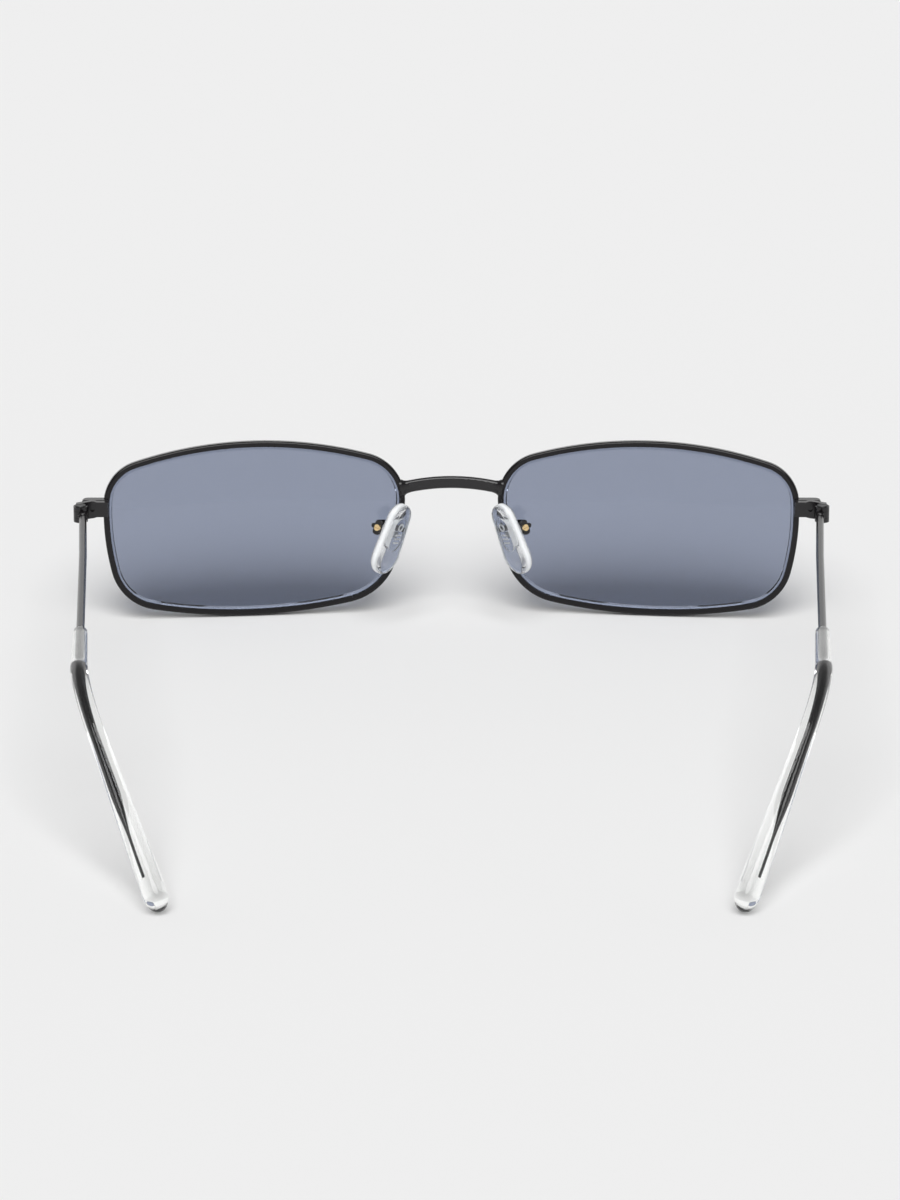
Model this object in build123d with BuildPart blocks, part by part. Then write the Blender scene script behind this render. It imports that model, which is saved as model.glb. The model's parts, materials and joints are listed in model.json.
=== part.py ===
from build123d import *
import os
from math import asin, cos, degrees, radians, sin, sqrt, tan

os.makedirs("parts", exist_ok=True)

# Narrow rectangle sunglasses in millimetres. They stand open on a table, on the rims and the
# temple tips. The wearer looks along -Y, the temples run back along +Y, and +X is the
# wearer's left. The left half is drawn and the right half is its mirror image.

# Lens outline, as a box between the bevel tips, with four slow sides and four round corners
lens_width = 54.0
lens_height = 31.0
bridge_width = 18.2
top_side_radius = 78.6
bottom_side_radius = 88.6
temple_side_radius = 43.2
nose_side_radius = 65.1
top_apex = -1.5
bottom_apex = 2.9
temple_side_apex = 3.4
nose_side_apex = 8.8
top_temple_corner = 7.3
top_nose_corner = 8.0
bottom_nose_corner = 10.9
bottom_temple_corner = 8.9

# Lens and rim section
base_curve_radius = 175.0
lens_thickness = 2.0
bevel_height = 0.45
bevel_thickness = 1.1
bevel_chamfer = 0.4
lens_edge_chamfer = 0.4
lens_clearance = 0.03
rim_wall = 0.6
rim_depth = 2.0
rim_outer_fillet = 0.4

# Stance of the front
front_lean = 12.0
front_wrap = 4.0

# Bridge
bridge_height = 7.5
bridge_arch = 0.95
bridge_tall = 2.2
bridge_deep = 1.35
bridge_fillet = 0.5
bridge_bury = 1.6

# End piece, closing block and closing screw
end_tall = 2.9
end_deep = 2.2
end_rise = 0.35
end_inset = 0.1
end_lap = 1.0
end_corner_radius = 1.2
end_edge_fillet = 0.3
split_height = 0.45
split_gap = 0.1
braze_gap = 0.02
closing_screw_radius = 0.5
closing_head_radius = 0.85
closing_head_depth = 0.5
closing_head_clearance = 0.05
closing_screw_tail = 0.45
end_back_fillet = 0.3

# Hinge
hinge_outset = 3.9
hinge_rise = 5.4
hinge_behind = 4.1
barrel_radius = 1.3
middle_knuckle_height = 1.2
outer_knuckle_height = 0.8
knuckle_gap = 0.04
leaf_thickness = 1.0
leaf_standoff = 1.1
leaf_lobe_reach = 2.05
leaf_lobe_radius = 1.6
leaf_height = 2.8
leaf_web_half = 0.9
leaf_hole_radius = 0.4
leaf_hole_depth = 0.5
swing_clearance = 0.1
hinge_screw_radius = 0.6
hinge_running_clearance = 0.04
thread_clearance = 0.02
hinge_head_radius = 1.05
hinge_head_height = 0.5
hinge_head_sink = 0.3
hinge_head_chamfer = 0.15
screw_tail = 0.2
slot_width = 0.3
slot_depth = 0.25
neck_radius = 0.9
neck_start = 1.5
neck_end = 3.2
neck_chamfer = 0.2
link_width = 1.4
link_inward = 0.4
wire_start = 2.0

# Temple wire and its inner end
temple_rise = 4.0
first_inward = 3.7
second_inward = 3.1
first_run = 26.0
shank_length = 97.0
tip_length = 43.0
tip_inward = 25.6
wire_radius = 0.7
first_bend_radius = 260.0
ear_bend_radius = 22.0
bend_lead = 0.5
blade_roll = 15.0
blade_end_short = 8.3
blade_end_outward = 0.6
blade_thickness = 0.5
blade_width = 1.9

# Temple tip
tip_sleeve_length = 70.5
tip_start_radius = 1.25
tip_bend_radius = 1.5
tip_thickness = 4.1
tip_width = 5.6
tip_mouth_fillet = 0.2
loose_bore_radius = 0.9
loose_bore_length = 19.0
core_clearance = 0.04

# Nose pad, its core, box, arm and screw
pad_spacing = 21.8
pad_setback = 8.9
pad_rise = 1.2
pad_splay = 33.0
pad_frontal = 19.5
pad_backward = 8.0
pad_thickness = 2.4
pad_top_radius = 2.85
pad_bottom_radius = 3.5
pad_length = 13.6
pad_edge_fillet = 1.0
core_length = 6.4
core_width = 3.4
core_plate = 0.7
core_mark_height = 0.2
core_ring_outer = 0.8
core_ring_inner = 0.45
core_ring_place = 1.5
core_rib_length = 1.8
core_rib_width = 0.3
core_rib_pitch = 0.75
core_rib_count = 3
core_rib_place = -0.75
core_forward = 0.4
lug_thickness = 1.2
lug_radius = 0.55
lug_rise = 1.0
lug_reach = 1.6
pad_screw_radius = 0.3
pad_running_clearance = 0.04
pad_fit_clearance = 0.02
box_wall = 0.5
box_gap = 0.06
box_height = 2.8
box_front = 0.6
box_back = 0.9
box_floor = 0.3
box_corner_radius = 0.6
box_edge_fillet = 0.15
pad_head_radius = 0.6
pad_head_height = 0.35
pad_slot_width = 0.2
pad_slot_depth = 0.15
arm_radius = 0.45
arm_bend_radius = 1.2
arm_foot_height = 0.5
arm_foot_inset = 0.9
arm_foot_bury = 0.4
arm_back_reach = 1.8
arm_lap = 0.2
arm_end_short = 0.15
arm_past_box = 1.5

# One length that lets a cutting tool run past what it cuts
overrun = 4.0

# Frame directions of the leaned and wrapped left eye
up = Vector(0, -sin(radians(front_lean)), cos(radians(front_lean)))
back = Vector(0, cos(radians(front_lean)), sin(radians(front_lean)))
side = Vector(1, 0, 0)
eye_across = side * cos(radians(front_wrap)) + back * sin(radians(front_wrap))
eye_forward = side * sin(radians(front_wrap)) - back * cos(radians(front_wrap))

rim_half_width = lens_width / 2 + rim_wall
rim_half_height = lens_height / 2 + rim_wall


def sag(across, height):
    """How far the curved lens has fallen back at a place on its outline."""
    return base_curve_radius - sqrt(base_curve_radius**2 - across**2 - height**2)


# Height of the eye's middle over the table: the rounded front edge of the rim stands on it
foot_radius = rim_outer_fillet
eye_z = (
    (rim_half_height - foot_radius) * cos(radians(front_lean))
    + (rim_depth / 2 - foot_radius) * sin(radians(front_lean))
    + foot_radius
    - sag(bottom_apex, rim_half_height) * sin(radians(front_lean))
    - bottom_apex * eye_across.Z
)

# The temple runs in straight stretches from the hinge, over the ear and down to the table
shank_back = Vector(0, cos(radians(temple_rise)), sin(radians(temple_rise)))
shank_up = Vector(0, -sin(radians(temple_rise)), cos(radians(temple_rise)))


def shank_way(inward):
    """Direction of a stretch of the shank that turns inward by an angle."""
    return shank_back * cos(radians(inward)) - side * sin(radians(inward))


# The hinge stands off the rim's outer side, which lies back by the wrap and the lens's curve
rim_side = (
    eye_across * rim_half_width + up * hinge_rise - eye_forward * sag(rim_half_width, hinge_rise)
)
hinge_setback = rim_side.Y + hinge_behind

second_run = shank_length - first_run
bend_from_hinge = (
    shank_way(first_inward) * first_run + shank_way(second_inward) * second_run - side * link_inward
)
tip_half_width = tip_width / 2
bend_z = eye_z + hinge_rise + bend_from_hinge.Z
tip_drop = degrees(asin((bend_z - tip_half_width) / (tip_length - tip_half_width)))
tip_way = Vector(
    -cos(radians(tip_drop)) * sin(radians(tip_inward)),
    cos(radians(tip_drop)) * cos(radians(tip_inward)),
    -sin(radians(tip_drop)),
)

# Depth of the eye's middle: the whole part's middle lies over the origin
foremost_share = -1 / 6
foremost_across = foremost_share * lens_width
front_reach = (
    foremost_across * eye_across.Y
    - rim_half_height * sin(radians(front_lean))
    + (sag(foremost_across, rim_half_height) - rim_depth / 2) * cos(radians(front_lean))
)
rear_reach = (
    hinge_setback + bend_from_hinge.Y + (tip_length - tip_half_width) * tip_way.Y + tip_half_width
)
eye_y = -(front_reach + rear_reach) / 2
eye_x = (lens_width + bridge_width) / 2

eye_plane = Plane(origin=(eye_x, eye_y, eye_z), x_dir=eye_across, z_dir=eye_forward)
hinge_point = Vector(eye_x + rim_side.X + hinge_outset, eye_y + hinge_setback, eye_z + hinge_rise)
hinge_plane = Plane(origin=hinge_point, x_dir=side, z_dir=shank_up)


def on_lens(across, height, behind=0):
    """A place on the left lens's curved middle, or behind it, from its place on the outline."""
    return eye_plane.from_local_coords(Vector(across, height, -sag(across, height) - behind))


def eye_outline(grow):
    """The lens outline, grown by a length all round."""
    with BuildSketch() as outline:
        with Locations((top_apex, lens_height / 2 - top_side_radius)):
            Circle(top_side_radius + grow)
        with Locations((bottom_apex, bottom_side_radius - lens_height / 2)):
            Circle(bottom_side_radius + grow, mode=Mode.INTERSECT)
        with Locations((lens_width / 2 - temple_side_radius, temple_side_apex)):
            Circle(temple_side_radius + grow, mode=Mode.INTERSECT)
        with Locations((nose_side_radius - lens_width / 2, nose_side_apex)):
            Circle(nose_side_radius + grow, mode=Mode.INTERSECT)
        for across, height, radius in (
            (lens_width / 2, lens_height / 2, top_temple_corner),
            (-lens_width / 2, lens_height / 2, top_nose_corner),
            (-lens_width / 2, -lens_height / 2, bottom_nose_corner),
            (lens_width / 2, -lens_height / 2, bottom_temple_corner),
        ):
            corner = outline.vertices().sort_by_distance((across, height))[0]
            fillet(corner, radius + grow)
    return outline.sketch


def curved_slab(grow, thickness):
    """A slab of the lens's curve, with the lens outline grown by a length all round."""
    with BuildPart(eye_plane.offset(-base_curve_radius)) as shell:
        Sphere(base_curve_radius + thickness / 2, rotation=(90, 0, 0))
        Sphere(base_curve_radius - thickness / 2, rotation=(90, 0, 0), mode=Mode.SUBTRACT)
    with BuildPart() as slab:
        with BuildSketch(eye_plane):
            add(eye_outline(grow))
        extrude(amount=2 * overrun, both=True)
        add(shell.part, mode=Mode.INTERSECT)
    return slab


def curved_faces(builder):
    """The front and back faces of a slab of the lens's curve."""
    return builder.faces().filter_by(GeomType.SPHERE)


# Left lens: a curved sheet with a bevelled tongue all round that sits in the rim's groove
lens_bevel = curved_slab(0, bevel_thickness)
with BuildPart() as lens_tongue:
    add(lens_bevel.part)
    chamfer(curved_faces(lens_tongue).edges(), bevel_chamfer)

lens_sheet = curved_slab(-bevel_height - lens_clearance, lens_thickness)
with BuildPart() as lens_left:
    add(lens_sheet.part)
    chamfer(curved_faces(lens_left).edges(), lens_edge_chamfer)
    add(lens_tongue.part)

# Left rim: a band of wire round the lens, with a V groove inside, cut through at the closing block
rim_blank = curved_slab(rim_wall, rim_depth)
with BuildPart() as rim_bar:
    add(rim_blank.part)
    fillet(curved_faces(rim_bar).edges(), rim_outer_fillet)

rim_window = curved_slab(-bevel_height, overrun)
groove_blank = curved_slab(lens_clearance, bevel_thickness + 2 * lens_clearance)
with BuildPart() as groove:
    add(groove_blank.part)
    chamfer(curved_faces(groove).edges(), bevel_chamfer)

with BuildPart() as rim_left:
    add(rim_bar.part)
    add(rim_window.part, mode=Mode.SUBTRACT)
    add(groove.part, mode=Mode.SUBTRACT)
    with BuildSketch(hinge_plane.offset(end_rise + split_height)):
        with Locations((-hinge_outset, 0)):
            Rectangle(hinge_outset, 2 * hinge_setback)
    extrude(amount=split_gap / 2, both=True, mode=Mode.SUBTRACT)

# The space that the left rim fills, for whatever is brazed to its outside
with BuildPart() as rim_space:
    with BuildSketch(eye_plane):
        add(eye_outline(rim_wall + braze_gap))
    extrude(amount=2 * overrun, both=True)

# Bridge: a flat bar bent to a low arch, brazed between the rims
bridge_end = on_lens(-rim_half_width, bridge_height)
bridge_plane = Plane(origin=(0, bridge_end.Y, bridge_end.Z), x_dir=side, z_dir=-back)
bridge_half = bridge_end.X + bridge_bury
bridge_fall = bridge_arch * (bridge_half / bridge_end.X) ** 2
with BuildPart() as bridge:
    with BuildLine():
        bridge_line = ThreePointArc(
            bridge_plane.from_local_coords(Vector(-bridge_half, bridge_arch - bridge_fall)),
            bridge_plane.from_local_coords(Vector(0, bridge_arch)),
            bridge_plane.from_local_coords(Vector(bridge_half, bridge_arch - bridge_fall)),
        )
    with BuildSketch(Plane(origin=bridge_line @ 0, x_dir=back, z_dir=bridge_line % 0)):
        RectangleRounded(bridge_deep, bridge_tall, bridge_fillet)
    sweep()
    add(rim_space.part, mode=Mode.SUBTRACT)
    mirror(rim_space.part, about=Plane.YZ, mode=Mode.SUBTRACT)

# End piece and closing block: one bar, split across, that clamps the rim's two ends and laps
# over the rim's back
rim_seat = curved_slab(rim_wall + braze_gap, rim_depth + 2 * braze_gap)
block_back = -leaf_standoff - leaf_thickness - braze_gap
block_middle = block_back - end_deep / 2
end_length = hinge_outset + end_lap - end_inset
end_plane = hinge_plane.offset(end_rise)
closing_screw_across = -(hinge_outset + end_inset) / 2
closing_plane = Plane(
    origin=end_plane.from_local_coords(Vector(closing_screw_across, block_middle, -end_tall / 2)),
    x_dir=side,
    z_dir=-shank_up,
)
with BuildPart() as end_bar:
    with BuildSketch(end_plane):
        with Locations((-end_inset - end_length / 2, block_middle)):
            Rectangle(end_length, end_deep)
        outer_corners = vertices().sort_by(Axis.X)[-2:].sort_by(Axis.Y)
        fillet(outer_corners[0], end_corner_radius)
        fillet(outer_corners[1], end_back_fillet)
    extrude(amount=end_tall / 2, both=True)
    fillet(end_bar.faces().sort_by(Axis(hinge_point, shank_up))[-1].edges(), end_edge_fillet)
    fillet(end_bar.faces().sort_by(Axis(hinge_point, shank_up))[0].edges(), end_edge_fillet)
    add(rim_seat.part, mode=Mode.SUBTRACT)

with BuildPart() as end_piece_left:
    add(end_bar.part)
    split(bisect_by=end_plane.offset(split_height - split_gap / 2), keep=Keep.BOTTOM)
    with Locations(closing_plane):
        CounterBoreHole(
            closing_screw_radius + thread_clearance,
            closing_head_radius + closing_head_clearance,
            closing_head_depth,
        )

closing_reach = end_tall / 2 + split_height + closing_screw_tail
with BuildPart() as closing_block_left:
    add(end_bar.part)
    split(bisect_by=end_plane.offset(split_height + split_gap / 2), keep=Keep.TOP)
    with Locations(closing_plane):
        Hole(closing_screw_radius + thread_clearance, closing_reach + closing_head_clearance)

with BuildPart() as closing_screw_left:
    with BuildSketch(closing_plane.offset(-closing_head_clearance)):
        Circle(closing_head_radius)
    extrude(amount=closing_head_clearance - closing_head_depth)
    with BuildSketch(closing_plane.offset(-closing_head_depth)):
        Circle(closing_screw_radius)
    extrude(amount=closing_head_depth - closing_reach)
    with BuildSketch(closing_plane.offset(-closing_head_clearance)):
        Rectangle(2 * closing_head_radius, slot_width)
    extrude(amount=-slot_depth, mode=Mode.SUBTRACT)

# Front half of the hinge: a brazed leaf with a round lobe, and the two outer knuckles. The leaf
# covers the bar's back as far as it laps over the rim.
middle_half = middle_knuckle_height / 2
barrel_half = middle_half + knuckle_gap + outer_knuckle_height
leaf_plane = Plane(
    origin=hinge_plane.from_local_coords(Vector(0, -leaf_standoff, 0)),
    x_dir=side,
    z_dir=-shank_back,
)
leaf_tail = end_inset + end_length - leaf_lobe_reach
with BuildPart() as front_hinge_left:
    with BuildSketch(leaf_plane):
        with Locations((-leaf_lobe_reach, end_rise)):
            Circle(leaf_lobe_radius)
        Rectangle(2 * leaf_web_half, 2 * barrel_half)
        make_hull()
        with Locations((-leaf_lobe_reach - leaf_tail / 2, end_rise)):
            Rectangle(leaf_tail, leaf_height)
    extrude(amount=leaf_thickness)
    with BuildSketch(hinge_plane):
        Circle(barrel_radius)
        with Locations((0, -leaf_standoff / 2)):
            Rectangle(2 * leaf_web_half, leaf_standoff)
    extrude(amount=barrel_half, both=True)
    with BuildSketch(hinge_plane):
        Circle(barrel_radius + swing_clearance)
    extrude(amount=middle_half + knuckle_gap, both=True, mode=Mode.SUBTRACT)
    with Locations(hinge_plane.offset(barrel_half)):
        CounterBoreHole(
            hinge_screw_radius + thread_clearance,
            hinge_head_radius + thread_clearance,
            hinge_head_sink,
        )
    with Locations(leaf_plane):
        with Locations((-leaf_lobe_reach, end_rise)):
            Hole(leaf_hole_radius, leaf_hole_depth)

with BuildPart() as hinge_screw_left:
    with BuildSketch(hinge_plane.offset(barrel_half - hinge_head_sink)):
        Circle(hinge_head_radius)
    extrude(amount=hinge_head_height)
    chamfer(
        hinge_screw_left.faces().sort_by(Axis(hinge_point, shank_up))[-1].edges(),
        hinge_head_chamfer,
    )
    with BuildSketch(hinge_plane.offset(barrel_half - hinge_head_sink)):
        Circle(hinge_screw_radius)
    extrude(amount=hinge_head_sink - 2 * barrel_half - screw_tail)
    with BuildSketch(hinge_plane.offset(barrel_half - hinge_head_sink + hinge_head_height)):
        Rectangle(2 * hinge_head_radius, slot_width)
    extrude(amount=-slot_depth, mode=Mode.SUBTRACT)

# Temple half of the hinge: the middle knuckle and the socket that the wire is brazed into
root_point = hinge_point - side * link_inward
root_plane = Plane(origin=root_point, x_dir=shank_up, z_dir=shank_way(first_inward))
with BuildPart() as temple_hinge_left:
    with BuildSketch(hinge_plane):
        Circle(barrel_radius)
    extrude(amount=middle_half, both=True)
    with BuildSketch(root_plane):
        Rectangle(middle_knuckle_height, link_width)
    extrude(amount=neck_start + neck_chamfer)
    with BuildSketch(root_plane.offset(neck_start)):
        Circle(neck_radius)
    extrude(amount=neck_end - neck_start)
    chamfer(
        temple_hinge_left.faces().sort_by(Axis(root_point, shank_way(first_inward)))[-1].edges(),
        neck_chamfer,
    )
    with BuildSketch(root_plane.offset(wire_start)):
        Circle(wire_radius + braze_gap)
    extrude(amount=neck_end, mode=Mode.SUBTRACT)
    with Locations(hinge_plane.offset(middle_half)):
        Hole(hinge_screw_radius + hinge_running_clearance)

# Temple route: two stretches of shank, then the tip beyond the bend over the ear
first_way = shank_way(first_inward)
second_way = shank_way(second_inward)
first_corner = root_point + first_way * first_run
ear_corner = hinge_point + bend_from_hinge
ear_turn = second_way.get_angle(tip_way)
ear_tangent = ear_bend_radius * tan(radians(ear_turn) / 2) + bend_lead
inward_flat = Vector(-cos(radians(tip_inward)), -sin(radians(tip_inward)), 0)
blade_up = tip_way.cross(inward_flat)
blade_wide = blade_up * cos(radians(blade_roll)) - inward_flat * sin(radians(blade_roll))


def tip_plane(run, outward=0):
    """The plane across the tip at a run beyond the bend's end, with X the way the blade is wide."""
    return Plane(
        origin=ear_corner + tip_way * (ear_tangent + run) - inward_flat * outward,
        x_dir=blade_wide,
        z_dir=tip_way,
    )


blade_run = tip_length - ear_tangent - blade_end_short


def temple_core(gap):
    """The temple's wire from the socket to its flattened inner end, grown by a gap."""
    with BuildPart() as core:
        with BuildLine():
            route = FilletPolyline(
                root_point + first_way * wire_start,
                first_corner,
                ear_corner,
                tip_plane(0).origin,
                radius=[first_bend_radius, ear_bend_radius],
            )
        with BuildSketch(Plane(origin=route @ 0, x_dir=shank_up, z_dir=route % 0)):
            Circle(wire_radius + gap)
        sweep()
        with BuildSketch(tip_plane(0)):
            Circle(wire_radius + gap)
        with BuildSketch(tip_plane(blade_run + gap, blade_end_outward)):
            Ellipse(blade_width / 2 + gap, blade_thickness / 2 + gap)
        loft()
    return core


with BuildPart() as temple_wire_left:
    add(temple_core(0).part)

# Temple tip: a clear sleeve with a loose mouth, that thickens to a rounded paddle
sleeve_bend_start = ear_corner - second_way * ear_tangent
sleeve_mouth = ear_corner - second_way * (tip_sleeve_length - tip_length)
mouth_plane = Plane(origin=sleeve_mouth, x_dir=shank_up, z_dir=second_way)
paddle_run = tip_length - ear_tangent - tip_half_width
paddle_run_shares = (0.35, 0.7, 1)
paddle_grow_shares = (0.4, 0.85, 1)
cap_turns = (30, 52, 68, 80)
with BuildPart() as temple_tip_left:
    with BuildSketch(mouth_plane):
        Circle(tip_start_radius)
    with BuildSketch(Plane(origin=sleeve_bend_start, x_dir=shank_up, z_dir=second_way)):
        Circle(tip_bend_radius)
    loft()
    fillet(temple_tip_left.faces().sort_by(Axis(sleeve_mouth, second_way))[0].edges(), tip_mouth_fillet)
    with BuildLine():
        FilletPolyline(sleeve_bend_start, ear_corner, tip_plane(0).origin, radius=ear_bend_radius)
    with BuildSketch(Plane(origin=sleeve_bend_start, x_dir=shank_up, z_dir=second_way)):
        Circle(tip_bend_radius)
    sweep()
    with BuildSketch(tip_plane(0)):
        Circle(tip_bend_radius)
    for run_share, grow_share in zip(paddle_run_shares, paddle_grow_shares):
        with BuildSketch(tip_plane(paddle_run * run_share)):
            Ellipse(
                tip_bend_radius + (tip_half_width - tip_bend_radius) * grow_share,
                tip_bend_radius + (tip_thickness / 2 - tip_bend_radius) * grow_share,
            )
    loft()
    with BuildSketch(tip_plane(paddle_run)):
        Ellipse(tip_half_width, tip_thickness / 2)
    for turn in cap_turns:
        with BuildSketch(tip_plane(paddle_run + tip_half_width * sin(radians(turn)))):
            Ellipse(tip_half_width * cos(radians(turn)), tip_thickness / 2 * cos(radians(turn)))
    loft()
    with BuildSketch(mouth_plane):
        Circle(loose_bore_radius)
    extrude(amount=loose_bore_length, mode=Mode.SUBTRACT)
    add(temple_core(core_clearance).part, mode=Mode.SUBTRACT)

# Nose pad directions: up its length, out of its face, and across it
pad_centre = Vector(pad_spacing / 2, eye_y + pad_setback, eye_z + pad_rise)
pad_long = Vector(
    -sin(radians(pad_frontal)), -sin(radians(pad_backward)), cos(radians(pad_frontal))
).normalized()
pad_flat = Vector(-cos(radians(pad_splay)), sin(radians(pad_splay)), 0)
pad_face = (pad_flat - pad_long * pad_flat.dot(pad_long)).normalized()
pad_across = pad_long.cross(pad_face)
pad_plane = Plane(origin=pad_centre, x_dir=pad_across, z_dir=pad_face)
core_plane = Plane(
    origin=pad_centre + pad_long * lug_rise + pad_across * core_forward,
    x_dir=pad_across,
    z_dir=pad_face,
)
pad_pivot = pad_centre + pad_long * lug_rise - pad_face * (pad_thickness / 2 + lug_reach)
rock_plane = Plane(origin=pad_pivot, x_dir=pad_face, z_dir=pad_across)
box_plane = Plane(origin=pad_pivot, x_dir=pad_across, z_dir=pad_long)


def pad_insert(gap):
    """The hard core of a nose pad: a plate with a ring and ribs on it and a lug behind."""
    with BuildPart() as insert:
        with BuildSketch(core_plane):
            SlotOverall(core_length + 2 * gap, core_width + 2 * gap, rotation=90)
        extrude(amount=core_plate / 2 + gap, both=True)
        with BuildSketch(core_plane.offset(core_plate / 2)):
            with Locations((0, core_ring_place)):
                Circle(core_ring_outer + gap)
            with Locations((0, core_ring_place)):
                Circle(core_ring_inner - gap, mode=Mode.SUBTRACT)
            with Locations((0, core_rib_place)):
                with GridLocations(0, core_rib_pitch, 1, core_rib_count):
                    Rectangle(core_rib_length + 2 * gap, core_rib_width + 2 * gap)
        extrude(amount=core_mark_height + gap)
        with BuildSketch(rock_plane):
            Circle(lug_radius + gap)
            with Locations(((lug_reach + pad_thickness / 2) / 2, 0)):
                Rectangle(lug_reach + pad_thickness / 2, 2 * (lug_radius + gap))
        extrude(amount=lug_thickness / 2 + gap, both=True)
    return insert


with BuildPart() as pad_core_left:
    add(pad_insert(0).part)
    with Locations(rock_plane.offset(lug_thickness / 2)):
        Hole(pad_screw_radius + pad_running_clearance)

with BuildPart() as nose_pad_left:
    with BuildSketch(pad_plane):
        with Locations((0, pad_length / 2 - pad_top_radius)):
            Circle(pad_top_radius)
        with Locations((0, pad_bottom_radius - pad_length / 2)):
            Circle(pad_bottom_radius)
        make_hull()
    extrude(amount=pad_thickness / 2, both=True)
    fillet(nose_pad_left.faces().filter_by(pad_plane).edges(), pad_edge_fillet)
    add(pad_insert(pad_fit_clearance).part, mode=Mode.SUBTRACT)

# Pad box: a folded channel that holds the lug, with a screw through its two cheeks
box_inner = lug_thickness + 2 * box_gap
box_outer = box_inner + 2 * box_wall
with BuildPart() as box_blank:
    with BuildSketch(rock_plane):
        with Locations(((box_front - box_back) / 2, 0)):
            RectangleRounded(box_front + box_back, box_height, box_corner_radius)
    extrude(amount=box_outer / 2, both=True)
    fillet(box_blank.faces().filter_by(rock_plane).edges(), box_edge_fillet)

with BuildPart() as pad_box_left:
    add(box_blank.part)
    with BuildSketch(box_plane):
        with Locations((0, (box_back - box_floor - box_front - overrun) / 2)):
            Rectangle(box_inner, box_front + box_back - box_floor + overrun)
    extrude(amount=box_height, both=True, mode=Mode.SUBTRACT)
    with Locations(rock_plane.offset(box_outer / 2)):
        Hole(pad_screw_radius + thread_clearance)

with BuildPart() as pad_screw_left:
    with BuildSketch(rock_plane.offset(-box_outer / 2)):
        Circle(pad_head_radius)
    extrude(amount=-pad_head_height)
    with BuildSketch(rock_plane.offset(-box_outer / 2)):
        Circle(pad_screw_radius)
    extrude(amount=box_outer + screw_tail)
    with BuildSketch(rock_plane.offset(-box_outer / 2 - pad_head_height)):
        Rectangle(2 * pad_head_radius, pad_slot_width)
    extrude(amount=pad_slot_depth, mode=Mode.SUBTRACT)

# Pad arm: a bent wire that lies across the back of the pad box and runs forward to the rim's back
arm_end = (
    pad_pivot - pad_face * (box_back + arm_lap) - pad_across * (box_outer / 2 - arm_end_short)
)
arm_turn = arm_end + pad_across * (box_outer + arm_past_box)
arm_foot = on_lens(arm_foot_inset - rim_half_width, arm_foot_height, rim_depth / 2 - arm_foot_bury)
arm_knee = arm_foot - eye_forward * arm_back_reach
with BuildPart() as pad_arm_left:
    with BuildLine():
        FilletPolyline(arm_end, arm_turn, arm_knee, arm_foot, radius=arm_bend_radius)
    with BuildSketch(Plane(origin=arm_end, x_dir=pad_face, z_dir=pad_across)):
        Circle(arm_radius)
    sweep()
    add(rim_bar.part, mode=Mode.SUBTRACT)
    add(box_blank.part, mode=Mode.SUBTRACT)

# Every left piece is written, and its mirror image is the right one
left_pieces = {
    "rim": rim_left,
    "lens": lens_left,
    "end_piece": end_piece_left,
    "closing_block": closing_block_left,
    "closing_screw": closing_screw_left,
    "front_hinge": front_hinge_left,
    "hinge_screw": hinge_screw_left,
    "temple_hinge": temple_hinge_left,
    "temple_wire": temple_wire_left,
    "temple_tip": temple_tip_left,
    "pad_arm": pad_arm_left,
    "pad_box": pad_box_left,
    "pad_screw": pad_screw_left,
    "pad_core": pad_core_left,
    "nose_pad": nose_pad_left,
}
for name, piece in left_pieces.items():
    piece.part.label = f"{name}_left"
    export_step(piece.part, f"parts/{name}_left.step")
    with BuildPart() as twin:
        mirror(piece.part, about=Plane.YZ)
    twin.part.label = f"{name}_right"
    export_step(twin.part, f"parts/{name}_right.step")

bridge.part.label = "bridge"
export_step(bridge.part, "parts/bridge.step")

# Places that the joints, mounts and openings use
print("eye middle", eye_plane.origin)
print("hinge", hinge_point, "axis", shank_up, "setback", hinge_setback)
print("pad pivot", pad_pivot, "axis", pad_across)
print("ear corner", ear_corner, "tip way", tip_way, "drop", tip_drop)
print("pad centre", pad_centre, "long", pad_long, "face", pad_face)
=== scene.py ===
"""Looks of the narrow rectangle sunglasses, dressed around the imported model.

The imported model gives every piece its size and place. This script gives each one its finish,
models the temple wires, the clear tips and the nose pads as smooth bodies, adds the brazing at
the bridge, and sets up a pale table, soft light and the camera.
"""
import json
import logging
import math
from collections.abc import Callable, Iterator
from dataclasses import dataclass
from enum import Enum

import bmesh
import bpy
from mathutils import Matrix, Vector


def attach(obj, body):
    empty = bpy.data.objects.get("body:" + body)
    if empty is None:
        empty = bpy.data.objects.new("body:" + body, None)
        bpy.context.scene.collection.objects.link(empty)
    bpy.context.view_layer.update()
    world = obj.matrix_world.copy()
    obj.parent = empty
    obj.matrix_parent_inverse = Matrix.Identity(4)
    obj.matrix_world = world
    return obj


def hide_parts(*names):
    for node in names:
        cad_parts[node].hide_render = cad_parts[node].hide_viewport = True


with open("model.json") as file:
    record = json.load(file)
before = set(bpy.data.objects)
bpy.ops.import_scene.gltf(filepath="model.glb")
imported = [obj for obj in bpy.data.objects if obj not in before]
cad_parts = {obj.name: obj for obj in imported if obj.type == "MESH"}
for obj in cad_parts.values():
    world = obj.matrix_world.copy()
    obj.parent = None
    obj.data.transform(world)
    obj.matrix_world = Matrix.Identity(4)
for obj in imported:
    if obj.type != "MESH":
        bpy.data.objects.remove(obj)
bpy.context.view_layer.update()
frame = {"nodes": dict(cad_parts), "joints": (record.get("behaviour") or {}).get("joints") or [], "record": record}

log = logging.getLogger("sunglasses")
MM = 0.001
ACROSS = Vector((1.0, 0.0, 0.0))
NOISE_MIDDLE = 0.5
SAME_POINT = 0.001 * MM
Colour = tuple[float, float, float, float]


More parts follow.
